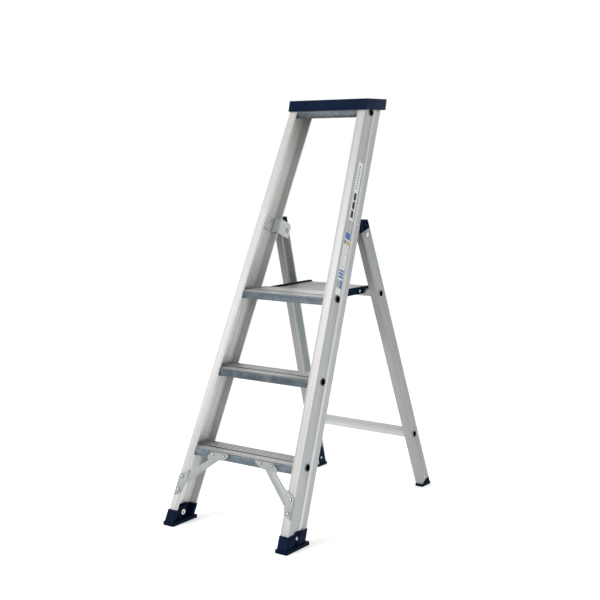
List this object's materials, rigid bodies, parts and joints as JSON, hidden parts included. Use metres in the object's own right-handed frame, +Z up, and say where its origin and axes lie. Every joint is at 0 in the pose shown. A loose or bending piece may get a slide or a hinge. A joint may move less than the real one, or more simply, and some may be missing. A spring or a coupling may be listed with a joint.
{
  "type": "platform stepladder",
  "caption": "Folding aluminium platform stepladder: two treads, hinged platform, plastic top cap and feet, rear frame on bracket pivots.",
  "frame": {"origin": "on the floor, at the middle of the footprint of the four feet", "axes": "+Z up; +X to the right of a person facing the treads; +Y from the climbing side to the rear frame"},
  "size_m": [0.476, 0.8407, 1.298],
  "materials": {
    "stile_aluminium": "satin",
    "rear_leg_aluminium": "satin",
    "mill_aluminium": "brushed",
    "brace_aluminium": "satin",
    "plate_steel": "satin",
    "fastener_steel": "satin",
    "navy_plastic": "satin"
  },
  "bodies": {
    "front_frame": {"stile_left": "stile_aluminium", "stile_right": "stile_aluminium", "tread_lower": "mill_aluminium", "tread_middle": "mill_aluminium", "top_crossbar": "mill_aluminium", "top_cap": "navy_plastic", "front_foot_left": "navy_plastic", "front_foot_right": "navy_plastic", "foot_bolts": "fastener_steel", "foot_nuts": "fastener_steel", "gusset_left": "plate_steel", "gusset_right": "plate_steel", "gusset_rivets": "fastener_steel", "hinge_bracket_left": "plate_steel", "hinge_bracket_right": "plate_steel", "bracket_rivets": "fastener_steel", "hinge_bolts": "fastener_steel", "platform_bush_left": "mill_aluminium", "platform_bush_right": "mill_aluminium"},
    "rear_frame": {"rear_leg_left": "rear_leg_aluminium", "rear_leg_right": "rear_leg_aluminium", "hinge_washers": "fastener_steel", "leg_plug_left": "navy_plastic", "leg_plug_right": "navy_plastic", "rear_foot_left": "navy_plastic", "rear_foot_right": "navy_plastic", "rear_foot_rivets": "fastener_steel", "lower_brace": "brace_aluminium", "upper_crossbar": "brace_aluminium"},
    "platform": {"platform_front_board": "mill_aluminium", "platform_rear_board": "mill_aluminium", "platform_cheek_left": "navy_plastic", "platform_cheek_right": "navy_plastic", "platform_rivets": "fastener_steel"}
  },
  "joints": [
    {"name": "rear_fold", "type": "hinge", "parent": "front_frame", "child": "rear_frame", "pos_m": [0, 0.10367, 0.87582], "axis": [-1, 0, 0], "range_deg": [0, 42]},
    {"name": "platform_tilt", "type": "hinge", "parent": "front_frame", "child": "platform", "pos_m": [0, -0.07708, 0.692], "axis": [1, 0, 0], "range_deg": [0, 66]}
  ],
  "couplings": [
    {"joint": "platform_tilt", "follows": "rear_fold", "ratio": 1.5714}
  ]
}
